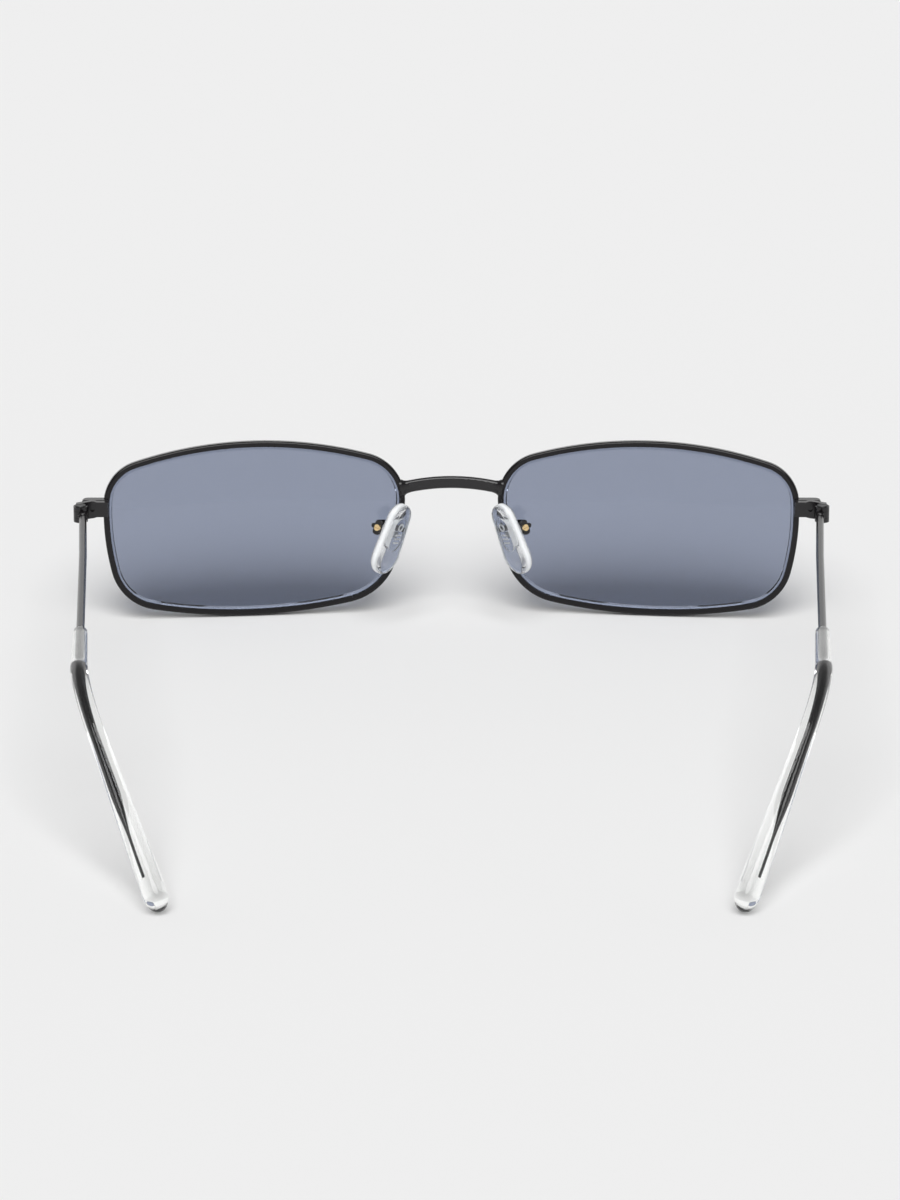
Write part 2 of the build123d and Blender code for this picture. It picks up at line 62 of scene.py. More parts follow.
class Side(Enum):
    """The two halves of the frame, with the sign of their X."""

    LEFT = 1
    RIGHT = -1

    @property
    def word(self) -> str:
        """The side's name as the nodes and bodies spell it."""
        return self.name.lower()

    def mirror(self, place: Vector) -> Vector:
        """A place or direction on the left half, carried to this half."""
        return Vector((place.x * self.value, place.y, place.z))


class Value:
    """A number or colour in a node tree, with Python's arithmetic on it."""

    def __init__(self, tree: "Tree", socket: bpy.types.NodeSocket) -> None:
        """Wraps an output socket of a tree."""
        self.tree = tree
        self.socket = socket

    def _math(self, operation: str, *operands: "Value | float", clamp: bool = False) -> "Value":
        """Adds a Math node that works on the operands."""
        settings = {"operation": operation, "use_clamp": clamp}
        return self.tree.node("ShaderNodeMath", settings, dict(enumerate(operands)))

    def __add__(self, other: "Value | float") -> "Value":
        """Sum."""
        return self._math("ADD", self, other)

    def __radd__(self, other: float) -> "Value":
        """Sum with the number first."""
        return self._math("ADD", other, self)

    def __sub__(self, other: "Value | float") -> "Value":
        """Difference."""
        return self._math("SUBTRACT", self, other)

    def __rsub__(self, other: float) -> "Value":
        """Difference with the number first."""
        return self._math("SUBTRACT", other, self)

    def __mul__(self, other: "Value | float") -> "Value":
        """Product."""
        return self._math("MULTIPLY", self, other)

    def __rmul__(self, other: float) -> "Value":
        """Product with the number first."""
        return self._math("MULTIPLY", other, self)

    def __abs__(self) -> "Value":
        """Size without sign."""
        return self._math("ABSOLUTE", self)

    def clamped(self) -> "Value":
        """The value held between nought and one."""
        return self._math("ADD", self, 0.0, clamp=True)


class Tree:
    """A node tree under construction."""

    def __init__(self, tree: bpy.types.NodeTree) -> None:
        """Takes over a tree."""
        self.tree = tree

    def node(
        self, kind: str, settings: dict | None = None, inputs: dict | None = None, output: int | str = 0
    ) -> Value:
        """Adds one node.

        Args:
            kind: the node's type.
            settings: its own properties, set first.
            inputs: values or links, by socket name or number.
            output: which output to hand back.

        Returns:
            The chosen output, ready for arithmetic.
        """
        made = self.tree.nodes.new(kind)
        for key, value in (settings or {}).items():
            setattr(made, key, value)
        for key, value in (inputs or {}).items():
            self.feed(made.inputs[key], value)
        return Value(self, made.outputs[output])

    def feed(self, socket: bpy.types.NodeSocket, value: "Value | float | tuple") -> None:
        """Links a value to a socket, or sets the socket's own constant.

        Args:
            socket: an input socket.
            value: what goes in.
        """
        if isinstance(value, Value):
            self.tree.links.new(value.socket, socket)
        else:
            socket.default_value = value


class Surface(Tree):
    """A material under construction: its node tree and its principled shader."""

    def __init__(self, name: str) -> None:
        """Makes an empty material of that name."""
        self.material = bpy.data.materials.new(name)
        self.material.use_nodes = True
        super().__init__(self.material.node_tree)
        self.shader = self.tree.nodes["Principled BSDF"]

    def set(self, **inputs: "Value | float | tuple") -> None:
        """Feeds the principled shader; an underscore in a name stands for a space."""
        for key, value in inputs.items():
            self.feed(self.shader.inputs[key.replace("_", " ")], value)

    def place(self) -> Value:
        """Object coordinates, which are the shared frame in metres."""
        return self.node("ShaderNodeTexCoord", output="Object")

    def noise(self, scale: float, detail: float = 2.0) -> Value:
        """Soft noise from nought to one.

        Args:
            scale: how many features lie in a millimetre.
            detail: octaves of finer noise.

        Returns:
            The noise's value.
        """
        inputs = {"Vector": self.place(), "Scale": scale / MM, "Detail": detail}
        return self.node("ShaderNodeTexNoise", None, inputs)

    def bump(self, height: Value, depth: float) -> Value:
        """A normal that leans with a height.

        Args:
            height: nought to one over the surface.
            depth: the height's full depth in metres.

        Returns:
            The normal.
        """
        return self.node("ShaderNodeBump", None, {"Height": height, "Distance": depth})

    def along(self, vector: Value, way: Vector) -> Value:
        """How far a vector reaches along a line."""
        settings = {"operation": "DOT_PRODUCT"}
        return self.node("ShaderNodeVectorMath", settings, {0: vector, 1: way}, "Value")

    def facing(self, way: Vector) -> Value:
        """How squarely the surface faces along a line, from nought to one."""
        return abs(self.along(self.node("ShaderNodeTexCoord", output="Normal"), way))

    def above(self, level: float, way: Vector, blur: float) -> Value:
        """Marks what lies beyond a level along a line.

        Args:
            level: where the marked part starts, in metres from the origin.
            way: the line's direction.
            blur: the length over which the mark comes in.

        Returns:
            Nought below the level and one above it.
        """
        return ((self.along(self.place(), way) - level) * (1.0 / blur)).clamped()

    def overlay(self, share: Value, **inputs: "Value | float | tuple") -> None:
        """Lays a second principled shader over the first.

        Args:
            share: how much of the second shows.
            inputs: the second shader's inputs.
        """
        under = Value(self, self.shader.outputs[0])
        named = {key.replace("_", " "): value for key, value in inputs.items()}
        over = self.node("ShaderNodeBsdfPrincipled", None, named)
        mixed = self.node("ShaderNodeMixShader", None, {0: share, 1: under, 2: over})
        self.feed(self.tree.nodes["Material Output"].inputs["Surface"], mixed)


@dataclass(frozen=True)
class Lacquer:
    """Black lacquer over metal, rubbed a little by wear, with a trace of orange peel."""

    name: str
    gloss: float
    colour: Colour = (0.0058, 0.005, 0.006, 1.0)
    roughness: float = 0.2
    rub: float = 0.05
    rub_scale: float = 0.35
    rub_detail: float = 4.0
    peel: float = 0.0004 * MM
    peel_scale: float = 4.0

    def make(self) -> bpy.types.Material:
        """Builds the material.

        Returns:
            The material.
        """
        surface = Surface(self.name)
        rubbed = surface.noise(self.rub_scale, self.rub_detail) - NOISE_MIDDLE
        surface.set(
            Base_Color=self.colour,
            Roughness=rubbed * self.rub + self.roughness,
            Normal=surface.bump(surface.noise(self.peel_scale), self.peel),
            Specular_IOR_Level=self.gloss,
        )
        return surface.material


@dataclass(frozen=True)
class SmokeLens:
    """Polished smoke-grey lens plastic, tinted in the mass, with the faintest handling haze."""

    name: str = "smoke_lens"
    tint: Colour = (0.29, 0.327, 0.428, 1.0)
    haze: float = 0.03
    haze_scale: float = 0.06
    haze_detail: float = 3.0
    clean_below: float = 0.55
    gloss: float = 0.25
    index: float = 1.5

    def make(self) -> bpy.types.Material:
        """Builds the material.

        Returns:
            The material.
        """
        surface = Surface(self.name)
        handled = surface.noise(self.haze_scale, self.haze_detail) - self.clean_below
        surface.set(
            Base_Color=self.tint,
            Roughness=(handled * self.haze).clamped(),
            Transmission_Weight=1.0,
            Specular_IOR_Level=self.gloss,
            IOR=self.index,
        )
        return surface.material


@dataclass(frozen=True)
class ClearPlastic:
    """Clear moulded plastic, finely uneven from its mould.

    Where it has a face, the walls that stand square to the face get a painted sheen: a pale layer
    that stands in for the bright light they catch. What rises past a level along the face is laid pale too.
    """

    name: str
    tint: Colour
    roughness: float
    uneven: float
    index: float
    ripple: float
    ripple_scale: float
    ripple_detail: float = 3.0
    face: tuple[float, ...] | None = None
    # A pale layer: on the walls square to the face it is a painted sheen, and it also covers what rises past the
    # level.
    milk: Colour = (0.93, 0.95, 0.97, 1.0)
    milk_roughness: float = 0.25
    milk_share: float = 0.9
    milk_uneven: float = 0.3
    milk_narrowing: float = 1.5
    milk_level: float | None = None
    milk_blur: float = 0.04 * MM

    def make(self) -> bpy.types.Material:
        """Builds the material.

        Returns:
            The material.
        """
        surface = Surface(self.name)
        cloud = surface.noise(self.ripple_scale, self.ripple_detail)
        surface.set(
            Base_Color=self.tint,
            Roughness=(cloud * self.uneven + self.roughness).clamped(),
            Normal=surface.bump(cloud, self.ripple),
            Transmission_Weight=1.0,
            IOR=self.index,
        )
        if self.face:
            self.add_milk(surface, Vector(self.face), cloud)
        return surface.material

    def add_milk(self, surface: Surface, way: Vector, cloud: Value) -> None:
        """Lays a pale layer over the walls as a painted sheen, and over what rises past the level.

        Args:
            surface: the material under construction.
            way: the way that the face looks.
            cloud: the mould's unevenness, from nought to one.
        """
        # Painted sheen: walls square to the face are laid pale, standing in for the bright light they catch.
        sheen_and_marks = (1.0 - surface.facing(way) * self.milk_narrowing).clamped()
        if self.milk_level is not None:
            sheen_and_marks = (sheen_and_marks + surface.above(self.milk_level, way, self.milk_blur)).clamped()
        share = (cloud - NOISE_MIDDLE) * self.milk_uneven + self.milk_share
        surface.overlay(sheen_and_marks * share, Base_Color=self.milk, Roughness=self.milk_roughness)


@dataclass(frozen=True)
class TurnedMetal:
    """Metal of small turned screws, bright or blackened."""

    name: str
    colour: Colour
    metallic: float
    roughness: float
    grain_scale: float = 6.0
    grain_detail: float = 3.0
    grain_rub: float = 0.2
    grain_depth: float = 0.003 * MM

    def make(self) -> bpy.types.Material:
        """Builds the material.

        Returns:
            The material.
        """
        surface = Surface(self.name)
        grain = surface.noise(self.grain_scale, self.grain_detail)
        surface.set(
            Base_Color=self.colour,
            Metallic=self.metallic,
            Roughness=(grain - NOISE_MIDDLE) * self.grain_rub + self.roughness,
            Normal=surface.bump(grain, self.grain_depth),
        )
        return surface.material


class Workpiece:
    """One new mesh under work in edit mode, in the shared frame."""

    def __init__(self, name: str) -> None:
        """Adds an empty mesh at the origin and starts work on it.

        Args:
            name: the piece's name.
        """
        bpy.ops.object.select_all(action="DESELECT")
        bpy.ops.object.add(type="MESH")
        self.piece = bpy.context.object
        self.piece.name = name
        bpy.ops.object.mode_set(mode="EDIT")

    def choose(
        self,
        edges: Callable[[bmesh.types.BMEdge], bool] | None = None,
        faces: Callable[[bmesh.types.BMFace], bool] | None = None,
    ) -> None:
        """Selects edges or faces by a test, and nothing else.

        Args:
            edges: says whether an edge is chosen.
            faces: says whether a face is chosen.
        """
        bpy.ops.mesh.select_all(action="DESELECT")
        bpy.ops.mesh.select_mode(type="EDGE" if edges else "FACE")
        mesh = bmesh.from_edit_mesh(self.piece.data)
        for edge in mesh.edges if edges else ():
            edge.select_set(edges(edge))
        for face in mesh.faces if faces else ():
            face.select_set(faces(face))
        mesh.select_flush_mode()
        bmesh.update_edit_mesh(self.piece.data)

    def finish(self, crease: float) -> bpy.types.Object:
        """Points the normals outwards, leaves edit mode and shades the piece.

        Args:
            crease: edges sharper than this angle stay crisp.

        Returns:
            The finished piece.
        """
        bpy.ops.mesh.select_all(action="SELECT")
        bpy.ops.mesh.remove_doubles(threshold=SAME_POINT)
        bpy.ops.mesh.normals_make_consistent(inside=False)
        bpy.ops.object.mode_set(mode="OBJECT")
        bpy.ops.object.shade_smooth_by_angle(angle=crease)
        return self.piece


def turned(first: Vector, second: Vector, third: Vector) -> Matrix:
    """The turn that carries X, Y and Z to three directions."""
    return Matrix((first, second, third)).transposed()


def widen(turn: Matrix, centre: Vector, first: float, second: float) -> None:
    """Resizes what is selected across a turned line, and not along it.

    Args:
        turn: carries Z to the line, and X and Y to the directions across it.
        centre: the place on the line that stays.
        first: the factor along the turned X.
        second: the factor along the turned Y.
    """
    bpy.ops.transform.resize(
        value=(first, second, 1.0),
        orient_type="GLOBAL",
        orient_matrix=turn,
        orient_matrix_type="GLOBAL",
        center_override=centre,
    )


def pair_from(left: bpy.types.Object) -> tuple[tuple[Side, bpy.types.Object], ...]:
    """Copies a left piece to the right half, with its own mirrored mesh.

    Args:
        left: the left piece, whose name ends with its side.

    Returns:
        Each side with its piece.
    """
    bpy.ops.object.select_all(action="DESELECT")
    left.select_set(True)
    bpy.context.view_layer.objects.active = left
    bpy.ops.object.duplicate(linked=False)
    twin = bpy.context.object
    twin.name = left.name.replace(Side.LEFT.word, Side.RIGHT.word)
    bpy.ops.object.mode_set(mode="EDIT")
    bpy.ops.mesh.select_all(action="SELECT")
    bpy.ops.transform.resize(value=(-1.0, 1.0, 1.0), center_override=(0.0, 0.0, 0.0))
    bpy.ops.mesh.normals_make_consistent(inside=False)
    bpy.ops.object.mode_set(mode="OBJECT")
    return (Side.LEFT, left), (Side.RIGHT, twin)


def joint_named(name: str) -> dict:
    """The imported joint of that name."""
    return next(joint for joint in frame["joints"] if joint["name"] == name)


def eased(share: float, first: float, last: float) -> float:
    """A smooth step from nought at one share to one at another.

    Args:
        share: how far along the piece.
        first: where the step starts.
        last: where it ends.

    Returns:
        The height of the step there.
    """
    part = min(max((share - first) / (last - first), 0.0), 1.0)
    return part * part * (3.0 - 2.0 * part)


def seat(piece: bpy.types.Object, body: str, slot: str, *nodes: str) -> None:
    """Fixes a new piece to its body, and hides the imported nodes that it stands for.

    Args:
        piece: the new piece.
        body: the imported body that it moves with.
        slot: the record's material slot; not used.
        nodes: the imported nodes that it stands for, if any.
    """
    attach(piece, body)
    if nodes:
        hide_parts(*nodes)
    log.info("%s rides on %s", piece.name, body)


@dataclass(frozen=True)
class Section:
    """One round or oval section of a wire or a moulded body."""

    centre: Vector
    way: Vector
    wide: Vector
    half_wide: float
    half_thick: float

    def draw(self, sides: int) -> None:
        """Adds the section's ring to the mesh in edit mode.

        Args:
            sides: how many points the ring has.
        """
        turn = turned(self.wide, self.way.cross(self.wide), self.way)
        bpy.ops.mesh.select_all(action="DESELECT")
        bpy.ops.mesh.primitive_circle_add(
            vertices=sides, radius=1.0, fill_type="NOTHING", location=self.centre, rotation=turn.to_euler()
        )
        widen(turn, self.centre, self.half_wide, self.half_thick)


def loft(name: str, sections: list[Section], sides: int, crease: float) -> bpy.types.Object:
    """Joins sections into one closed body.

    Args:
        name: the piece's name.
        sections: the rings from one end to the other.
        sides: how many points each ring has.
        crease: edges sharper than this angle stay crisp.

    Returns:
        The finished piece.
    """
    work = Workpiece(name)
    for section in sections:
        section.draw(sides)

    def rings(*wanted: int) -> Callable[[bmesh.types.BMEdge], bool]:
        """Makes a test for the edges that lie in the wanted rings.

        Args:
            wanted: the rings' numbers, counted in the order in which they were added.

        Returns:
            The test.
        """
        def test(edge: bmesh.types.BMEdge) -> bool:
            """Whether both ends of the edge lie in one wanted ring."""
            first, second = (vert.index // sides for vert in edge.verts)
            return first == second and first in wanted
        return test

    last = len(sections) - 1
    for index in range(last):
        work.choose(edges=rings(index, index + 1))
        bpy.ops.mesh.bridge_edge_loops()
    for index in (0, last):
        work.choose(edges=rings(index))
        bpy.ops.mesh.edge_face_add()
    return work.finish(crease)


@dataclass
class Temple:
    """A black wire that ends in a clear sleeve, bent over the ear and thickened to a paddle.

    The shank is the straight run from the hinge to the bend. The growth holds the weights of the
    run's share, its square and its cube, by which the paddle thickens. The core is the wire's thin
    end in the plastic, drawn out flat between two shares of the paddle.
    """

    link_inward: float = 0.4 * MM
    wire_start: float = 2.1 * MM
    wire_radius: float = 0.7 * MM
    first_run: float = 26.0 * MM
    first_inward: float = math.radians(3.7)
    shank_inward: float = math.radians(3.1)
    tip_inward: float = math.radians(25.6)
    length: float = 43.0 * MM
    sleeve_length: float = 70.5 * MM
    bend_radius: float = 22.0 * MM
    bend_lead: float = 0.5 * MM
    roll: float = math.radians(15)
    mouth_radius: float = 1.25 * MM
    bend_section: float = 1.5 * MM
    half_width: float = 2.8 * MM
    half_thickness: float = 2.05 * MM
    bore_radius: float = 0.9 * MM
    bore_length: float = 19.0 * MM
    bore_shares: tuple[float, ...] = (1.0, 0.98, 0.7, 0.4, 0.1)
    sleeve_shares: tuple[float, ...] = (0.1, 0.3, 0.5, 0.7, 0.85, 1.0)
    growth: tuple[float, ...] = (0.725, 1.688, -1.413)
    core_radius: float = 0.5 * MM
    core_neck: float = 1.5 * MM
    core_end_short: float = 6.1 * MM
    core_half_width: float = 0.2 * MM
    core_half_thickness: float = 0.12 * MM
    core_outward: float = 0.28 * MM
    core_drawn: tuple[float, ...] = (0.38, 0.75)
    tip_sides: int = 48
    wire_sides: int = 24
    lip_steps: int = 8
    bend_steps: int = 24
    paddle_steps: int = 24
    cap_turns: tuple[int, ...] = (12, 24, 36, 48, 58, 66, 73, 79, 84, 88)
    crease: float = math.radians(60)

    def __post_init__(self) -> None:
        """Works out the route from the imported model's ear rest and hinge."""
        mounts = {mount["name"]: mount for mount in frame["record"]["mounts"]}
        hinge = joint_named("left_temple_fold")
        shank_back = Vector(hinge["axis"]).cross(ACROSS)
        self.root = Vector(hinge["pos_m"]) - ACROSS * self.link_inward
        self.first, self.shank = (
            shank_back * math.cos(inward) - ACROSS * math.sin(inward)
            for inward in (self.first_inward, self.shank_inward)
        )
        self.ear = Vector(mounts["left_ear_rest"]["pos_m"])
        self.mouth_place = self.ear - self.shank * (self.sleeve_length - self.length)
        # The tip drops from the ear until its rounded end touches the table.
        drop = math.asin((self.ear.z - self.half_width) / (self.length - self.half_width))
        self.tip = Vector((
            -math.cos(drop) * math.sin(self.tip_inward),
            math.cos(drop) * math.cos(self.tip_inward),
            -math.sin(drop),
        ))
        self.outward = Vector((math.cos(self.tip_inward), math.sin(self.tip_inward), 0.0))
        upright = self.outward.cross(self.tip)
        self.wide = self.outward * math.sin(self.roll) + upright * math.cos(self.roll)
        self.turn = self.shank.angle(self.tip)
        self.tangent = self.bend_radius * math.tan(self.turn / 2)
        self.paddle_start = self.ear + self.tip * (self.tangent + self.bend_lead)
        self.paddle_run = self.length - self.tangent - self.bend_lead - self.half_width

    def section(self, centre: Vector, way: Vector, half_wide: float, half_thick: float) -> Section:
        """A section across the route, rolled as the paddle is."""
        wide = self.tip.rotation_difference(way) @ self.wide
        return Section(centre, way.normalized(), wide, half_wide, half_thick)

    def round_section(self, centre: Vector, way: Vector, radius: float) -> Section:
        """A round section across the route."""
        return self.section(centre, way, radius, radius)

    def shank_section(self, run: float, radius: float) -> Section:
        """A round section on the straight shank, at a run beyond the sleeve's mouth."""
        return self.round_section(self.mouth_place + self.shank * run, self.shank, radius)

    def bend(self, radius: float, outward: float = 0.0) -> Iterator[Section]:
        """Round sections along the bend over the ear.

        Args:
            radius: of every section.
            outward: how far the sections drift outwards by the end of the bend.

        Yields:
            The sections.
        """
        inside = (self.tip - self.shank * self.tip.dot(self.shank)).normalized()
        centre = self.ear - self.shank * self.tangent + inside * self.bend_radius
        for step in range(self.bend_steps + 1):
            turn = self.turn * step / self.bend_steps
            way = self.shank * math.cos(turn) + inside * math.sin(turn)
            out = self.shank * math.sin(turn) - inside * math.cos(turn)
            drift = self.outward * outward * step / self.bend_steps
            yield self.round_section(centre + out * self.bend_radius + drift, way, radius)

    def mouth(self) -> Iterator[Section]:
        """The loose bore from its blind end, then the rounded lip at the sleeve's mouth.

        Yields:
            The sections.
        """
        lip = (self.mouth_radius - self.bore_radius) / 2
        for share in self.bore_shares:
            yield self.shank_section(self.bore_length * share, self.bore_radius)
        for step in range(self.lip_steps + 1):
            turn = math.pi * step / self.lip_steps
            yield self.shank_section(
                lip * (1.0 - math.sin(turn)), self.bore_radius + lip * (1.0 - math.cos(turn))
            )

    def sleeve(self) -> Iterator[Section]:
        """The straight sleeve, that widens a little towards the bend.

        Yields:
            The sections.
        """
        run = self.sleeve_length - self.length - self.tangent - self.bend_lead
        for share in self.sleeve_shares:
            radius = self.mouth_radius + (self.bend_section - self.mouth_radius) * share
            yield self.shank_section(run * share, radius)

    def paddle(self) -> Iterator[Section]:
        """The paddle and its rounded end.

        Yields:
            The sections.
        """
        for step in range(1, self.paddle_steps + 1):
            share = step / self.paddle_steps
            grown = sum(weight * share ** (power + 1) for power, weight in enumerate(self.growth))
            yield self.section(
                self.paddle_start + self.tip * self.paddle_run * share,
                self.tip,
                self.bend_section + (self.half_width - self.bend_section) * grown,
                self.bend_section + (self.half_thickness - self.bend_section) * grown,
            )
        for degrees in self.cap_turns:
            turn = math.radians(degrees)
            yield self.section(
                self.paddle_start + self.tip * (self.paddle_run + self.half_width * math.sin(turn)),
                self.tip,
                self.half_width * math.cos(turn),
                self.half_thickness * math.cos(turn),
            )

    def shank_wire(self) -> Iterator[Section]:
        """The wire from the hinge's socket into the loose bore, where it narrows to the core.

        Yields:
            The sections.
        """
        yield self.round_section(self.root + self.first * self.wire_start, self.first, self.wire_radius)
        corner = self.root + self.first * self.first_run
        yield self.round_section(corner, self.first + self.shank, self.wire_radius)
        neck = self.bore_length - self.core_neck
        for run in (0.0, neck / 2, neck):
            yield self.shank_section(run, self.wire_radius)
        yield self.shank_section(neck + self.core_neck / 2, (self.wire_radius + self.core_radius) / 2)
        yield self.shank_section(self.bore_length, self.core_radius)

    def core(self) -> Iterator[Section]:
        """The core in the paddle, drawn out to a thin flat end.

        Yields:
            The sections.
        """
        run = self.paddle_run + self.half_width - self.core_end_short
        for step in range(self.paddle_steps + 1):
            share = step / self.paddle_steps
            drawn = eased(share, *self.core_drawn)
            yield self.section(
                self.paddle_start + self.outward * self.core_outward + self.tip * run * share,
                self.tip,
                self.core_radius + (self.core_half_width - self.core_radius) * drawn,
                self.core_radius + (self.core_half_thickness - self.core_radius) * drawn,
            )

    def build(self, clear: bpy.types.Material, lacquer: bpy.types.Material) -> None:
        """Models both temples' wires and tips and fixes each to its body.

        Args:
            clear: the tip's plastic.
            lacquer: the wire's finish.
        """
        tip = [*self.mouth(), *self.sleeve(), *self.bend(self.bend_section), *self.paddle()]
        wire = [*self.shank_wire(), *self.bend(self.core_radius, self.core_outward), *self.core()]
        for kind, node, slot, finish, sections, sides in (
            ("tip_body", "temple_tip", "tip", clear, tip, self.tip_sides),
            ("wire_body", "temple_wire", "frame", lacquer, wire, self.wire_sides),
        ):
            left = loft(f"{kind}_left", sections, sides, self.crease)
            for side, piece in pair_from(left):
                Wardrobe.lay(finish, piece)
                seat(piece, f"{side.word}_temple", slot, f"{node}_{side.word}")


@dataclass
class Brazing:
    """A smooth neck of filler metal, lacquered over, where each end of the bridge meets its rim.

    The neck starts inside the rim and narrows towards the bridge: each rise is a step along it, and
    each spread is how far it then stands proud of the bar.
    """

    lean: float = math.radians(12)
    fall: float = math.radians(11.8)
    tall: float = 2.2 * MM
    deep: float = 1.35 * MM
    corner: float = 0.5 * MM
    corner_steps: int = 6
    end_depth: float = 0.85 * MM
    buried: float = 0.55 * MM
    rises: tuple[float, ...] = (0.55 * MM, 0.2 * MM, 0.25 * MM, 0.35 * MM, 0.45 * MM)
    spreads: tuple[float, ...] = (0.46 * MM, 0.4 * MM, 0.25 * MM, 0.13 * MM, 0.055 * MM, 0.004 * MM)
    crease: float = math.radians(60)

    def foot(self) -> Vector:
        """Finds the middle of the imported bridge's left end.

        Returns:
            The place in the shared frame.
        """
        points = [vertex.co for vertex in frame["nodes"]["bridge"].data.vertices]
        reach = max(point.x for point in points) - self.end_depth
        end = [point for point in points if point.x > reach]
        low, high = (
            Vector(pick(point[axis] for point in end) for axis in range(3)) for pick in (min, max)
        )
        return (low + high) / 2

    def shape(self) -> bpy.types.Object:
        """Models the left neck, that narrows from the rim to the bridge.

        Returns:
            The finished piece.
        """
        up = Vector((0.0, -math.sin(self.lean), math.cos(self.lean)))
        back = Vector((0.0, math.cos(self.lean), math.sin(self.lean)))
        way = up * math.sin(self.fall) - ACROSS * math.cos(self.fall)
        turn = turned(back, way.cross(back), way)
        place = self.foot() - way * self.buried
        sizes = [(self.deep + 2 * grown, self.tall + 2 * grown) for grown in self.spreads]
        work = Workpiece("bridge_brazing_left")
        bpy.ops.mesh.primitive_plane_add(size=1.0, location=place, rotation=turn.to_euler())
        widen(turn, place, *sizes[0])
        bpy.ops.mesh.bevel(
            offset=self.corner + self.spreads[0],
            segments=self.corner_steps,
            affect="VERTICES",
            clamp_overlap=True,
        )
        bpy.ops.mesh.select_all(action="SELECT")
        for rise, new, old in zip(self.rises, sizes[1:], sizes):
            place = place + way * rise
            bpy.ops.mesh.extrude_region_move(TRANSFORM_OT_translate={"value": way * rise})
            widen(turn, place, *(after / before for after, before in zip(new, old)))
        return work.finish(self.crease)

    def build(self, finish: bpy.types.Material) -> None:
        """Models both necks and fixes them to the front.

        Args:
            finish: the lacquer.
        """
        for _, piece in pair_from(self.shape()):
            Wardrobe.lay(finish, piece)
            seat(piece, "front", "frame")


@dataclass
class NosePad:
    """A soft clear pad moulded round its hard insert, with rounded edges and a crowned face."""

    splay: float = math.radians(33)
    frontal: float = math.radians(19.5)
    backward: float = math.radians(8)
    thickness: float = 2.4 * MM
    top_radius: float = 2.85 * MM
    bottom_radius: float = 3.5 * MM
    length: float = 13.6 * MM
    edge: float = 1.0 * MM
    edge_steps: int = 8
    flat_angle: float = math.radians(1)
    flat_cosine: float = 0.99
    front_cosine: float = 0.999
    crease: float = math.radians(30)
    lug_rise: float = 1.0 * MM
    lug_reach: float = 1.6 * MM
    insert_thickness: float = 0.7 * MM
    crown_insets: tuple[float, ...] = (0.5 * MM, 0.8 * MM)
    crown_lifts: tuple[float, ...] = (0.05 * MM, 0.03 * MM)
    sides: int = 96

    def __post_init__(self) -> None:
        """Works out the pad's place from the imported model's pivot."""
        pivot = joint_named("left_pad_rock")
        self.long = Vector(
            (-math.sin(self.frontal), -math.sin(self.backward), math.cos(self.frontal))
        ).normalized()
        flat = Vector((-math.cos(self.splay), math.sin(self.splay), 0.0))
        self.face = (flat - self.long * flat.dot(self.long)).normalized()
        reach = self.face * (self.thickness / 2 + self.lug_reach)
        self.centre = Vector(pivot["pos_m"]) - self.long * self.lug_rise + reach
        self.mark_level = self.centre.dot(self.face) + self.insert_thickness / 2

    def shape(self) -> bpy.types.Object:
        """Models the left pad.

        Returns:
            The finished piece.
        """
        work = Workpiece("pad_body_left")
        turn = turned(self.long.cross(self.face), self.long, self.face)
        for radius, rise in (
            (self.top_radius, self.length / 2 - self.top_radius),
            (self.bottom_radius, self.bottom_radius - self.length / 2),
        ):
            bpy.ops.mesh.primitive_cylinder_add(
                vertices=self.sides,
                radius=radius,
                depth=self.thickness,
                location=self.centre + self.long * rise,
                rotation=turn.to_euler(),
            )
        bpy.ops.mesh.select_all(action="SELECT")
        bpy.ops.mesh.convex_hull()
        bpy.ops.mesh.dissolve_limited(angle_limit=self.flat_angle)
        work.choose(edges=lambda edge: any(
            abs(face.normal.dot(self.face)) > self.flat_cosine for face in edge.link_faces
        ))
        bpy.ops.mesh.bevel(offset=self.edge, segments=self.edge_steps, affect="EDGES")
        work.choose(faces=lambda face: face.normal.dot(self.face) > self.front_cosine)
        for inset, lift in zip(self.crown_insets, self.crown_lifts):
            bpy.ops.mesh.inset(thickness=inset)
            bpy.ops.transform.translate(value=self.face * lift)
        return work.finish(self.crease)

    def build(self, finish: Callable[[Side], bpy.types.Material]) -> None:
        """Models both pads and fixes each to its body.

        Args:
            finish: gives the silicone of a side.
        """
        for side, piece in pair_from(self.shape()):
            Wardrobe.lay(finish(side), piece)
            seat(piece, f"{side.word}_pad", "pad", f"nose_pad_{side.word}")


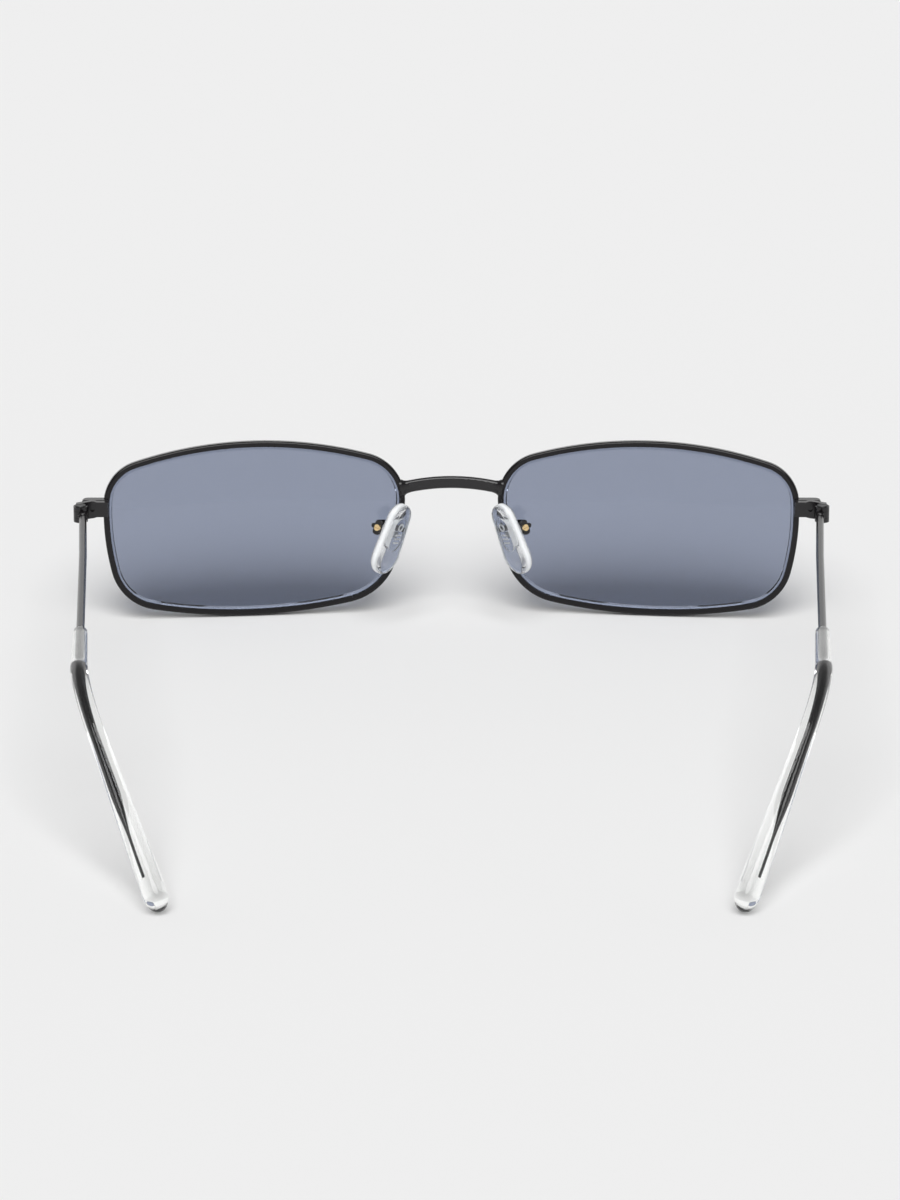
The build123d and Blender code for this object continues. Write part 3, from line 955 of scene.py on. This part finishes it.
class Wardrobe:
    """Every finish on the object, made once and laid on its pieces."""

    def __init__(self, pad_face: Vector, mark_level: float) -> None:
        """Makes the materials.

        Args:
            pad_face: the way that the left pad faces.
            mark_level: where the marks on its insert start, along that way.
        """
        self.satin = Lacquer("satin_lacquer", gloss=0.3).make()
        self.lacquer = Lacquer("black_lacquer", gloss=0.5).make()
        self.lens = SmokeLens().make()
        self.tip = ClearPlastic(
            "clear_tip",
            tint=(0.965, 0.972, 0.962, 1.0),
            roughness=0.01,
            uneven=0.04,
            index=1.49,
            ripple=0.003 * MM,
            ripple_scale=0.35,
        ).make()
        # Each side's silicone gets a painted sheen on the walls that stand square to its pad's face.
        self.silicone = {
            side: ClearPlastic(
                f"clear_silicone_{side.word}",
                tint=(0.96, 0.97, 0.985, 1.0),
                roughness=0.02,
                uneven=0.08,
                index=1.41,
                ripple=0.006 * MM,
                ripple_scale=0.7,
                face=tuple(side.mirror(pad_face)),
            ).make()
            for side in Side
        }
        # The insert lies in the silicone: its index is the step between the two, raised to show. Its walls get the
        # painted sheen too, and its marks past the level are laid pale.
        self.insert = {
            side: ClearPlastic(
                f"clear_insert_{side.word}",
                tint=(0.94, 0.955, 0.98, 1.0),
                roughness=0.02,
                uneven=0.05,
                index=1.16,
                ripple=0.003 * MM,
                ripple_scale=1.0,
                face=tuple(side.mirror(pad_face)),
                milk_level=mark_level,
            ).make()
            for side in Side
        }
        self.brass = TurnedMetal(
            "gold_screw", colour=(0.93, 0.7, 0.38, 1.0), metallic=1.0, roughness=0.24
        ).make()
        self.steel = TurnedMetal(
            "black_screw", colour=(0.02, 0.02, 0.021, 1.0), metallic=0.0, roughness=0.33
        ).make()

    @staticmethod
    def lay(material: bpy.types.Material, *pieces: bpy.types.Object) -> None:
        """Gives pieces one material all over.

        Args:
            material: the finish.
            pieces: what it goes on.
        """
        for piece in pieces:
            piece.data.materials.clear()
            piece.data.materials.append(material)

    def lay_on_nodes(self, material: bpy.types.Material, *names: str) -> None:
        """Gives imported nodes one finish.

        Args:
            material: the finish.
            names: the nodes' names.
        """
        for name in names:
            self.lay(material, frame["nodes"][name])
            log.info("%s wears %s", name, material.name)


@dataclass
class Studio:
    """Pale table, soft light and the camera at the photograph's angle.

    Each wall of the room is its strength at the table's level and how fast that falls with height.
    """

    table_colour: Colour = (0.86, 0.86, 0.86, 1.0)
    table_size: float = 12.0
    surround: float = 0.26
    glow: float = 0.7
    front_share: float = 0.5
    front_turn: float = 1.2
    front_wall: tuple[float, ...] = (2.2, 4.4)
    back_wall: tuple[float, ...] = (1.6, 5.0)
    window_energy: float = 2.51
    window_width: float = math.radians(50)
    window_way: tuple[float, ...] = (0.0, -0.55, -0.85)
    camera_elevation: float = math.radians(22)
    camera_distance: float = 1.0
    sight_y: float = -62.04 * MM
    focal_pixels: float = 5440.0
    picture_height: float = 1200.0
    film_height: float = 36.0
    shift_right_pixels: float = 1.4
    shift_down_pixels: float = 13.4
    clip_start: float = 0.01

    def table(self) -> None:
        """Lays the table under the object."""
        bpy.ops.object.select_all(action="DESELECT")
        bpy.ops.mesh.primitive_plane_add(size=self.table_size)
        table = bpy.context.object
        table.name = "table"
        surface = Surface("table")
        surface.set(Base_Color=self.table_colour, Roughness=1.0, Specular_IOR_Level=0.0)
        Wardrobe.lay(surface.material, table)

    def surroundings(self) -> None:
        """Sets a dim room with a pale low wall all round, higher in front of the object."""
        world = bpy.data.worlds.new("studio")
        world.use_nodes = True
        bpy.context.scene.world = world
        tree = Tree(world.node_tree)
        way = tree.node("ShaderNodeTexCoord", output="Generated")
        behind, height = (tree.node("ShaderNodeSeparateXYZ", None, {0: way}, axis) for axis in "YZ")
        front_wall, back_wall = (
            (strength - height * fall).clamped() for strength, fall in (self.front_wall, self.back_wall)
        )
        front = (self.front_share - behind * self.front_turn).clamped()
        light = (front * front_wall + (1.0 - front) * back_wall) * self.glow + self.surround
        tree.feed(world.node_tree.nodes["Background"].inputs["Color"], light)

    def window(self) -> None:
        """Hangs a broad soft light high on the camera's side."""
        lamp = bpy.data.lights.new("window", "SUN")
        lamp.energy = self.window_energy
        lamp.angle = self.window_width
        lamp_object = bpy.data.objects.new("window", lamp)
        bpy.context.scene.collection.objects.link(lamp_object)
        lamp_object.rotation_euler = Vector(self.window_way).to_track_quat("-Z", "Y").to_euler()

    def camera(self) -> None:
        """Stands the camera behind and above, as in the photograph."""
        sight = Vector((0.0, self.sight_y, 0.0))
        reach = Vector((0.0, math.cos(self.camera_elevation), math.sin(self.camera_elevation)))
        optics = bpy.data.cameras.new("camera")
        optics.sensor_width = self.film_height
        optics.lens = self.focal_pixels / self.picture_height * self.film_height
        optics.shift_x = -self.shift_right_pixels / self.picture_height
        optics.shift_y = self.shift_down_pixels / self.picture_height
        optics.clip_start = self.clip_start
        camera = bpy.data.objects.new("camera", optics)
        camera.location = sight + reach * self.camera_distance
        camera.rotation_euler = (-reach).to_track_quat("-Z", "Y").to_euler()
        bpy.context.scene.collection.objects.link(camera)
        bpy.context.scene.camera = camera

    def build(self) -> None:
        """Sets the whole studio up."""
        self.table()
        self.surroundings()
        self.window()
        self.camera()
        bpy.context.scene.view_settings.view_transform = "Standard"


def both(*names: str) -> list[str]:
    """The left and right nodes' names of each named piece."""
    return [f"{name}_{side.word}" for name in names for side in Side]


def main() -> None:
    """Dresses the whole object."""
    pad = NosePad()
    wardrobe = Wardrobe(pad.face, pad.mark_level)
    wardrobe.lay_on_nodes(
        wardrobe.lacquer,
        "bridge",
        *both("end_piece", "closing_block", "front_hinge", "temple_hinge", "pad_arm", "pad_box"),
    )
    wardrobe.lay_on_nodes(wardrobe.satin, *both("rim"))
    wardrobe.lay_on_nodes(wardrobe.lens, *both("lens"))
    wardrobe.lay_on_nodes(wardrobe.brass, *both("pad_screw"))
    wardrobe.lay_on_nodes(wardrobe.steel, *both("hinge_screw", "closing_screw"))
    for side in Side:
        wardrobe.lay_on_nodes(wardrobe.insert[side], f"pad_core_{side.word}")
    Temple().build(wardrobe.tip, wardrobe.lacquer)
    Brazing().build(wardrobe.lacquer)
    pad.build(wardrobe.silicone.get)
    Studio().build()


if __name__ == "__main__":
    logging.basicConfig(level=logging.INFO, format="%(name)s: %(message)s")
    main()
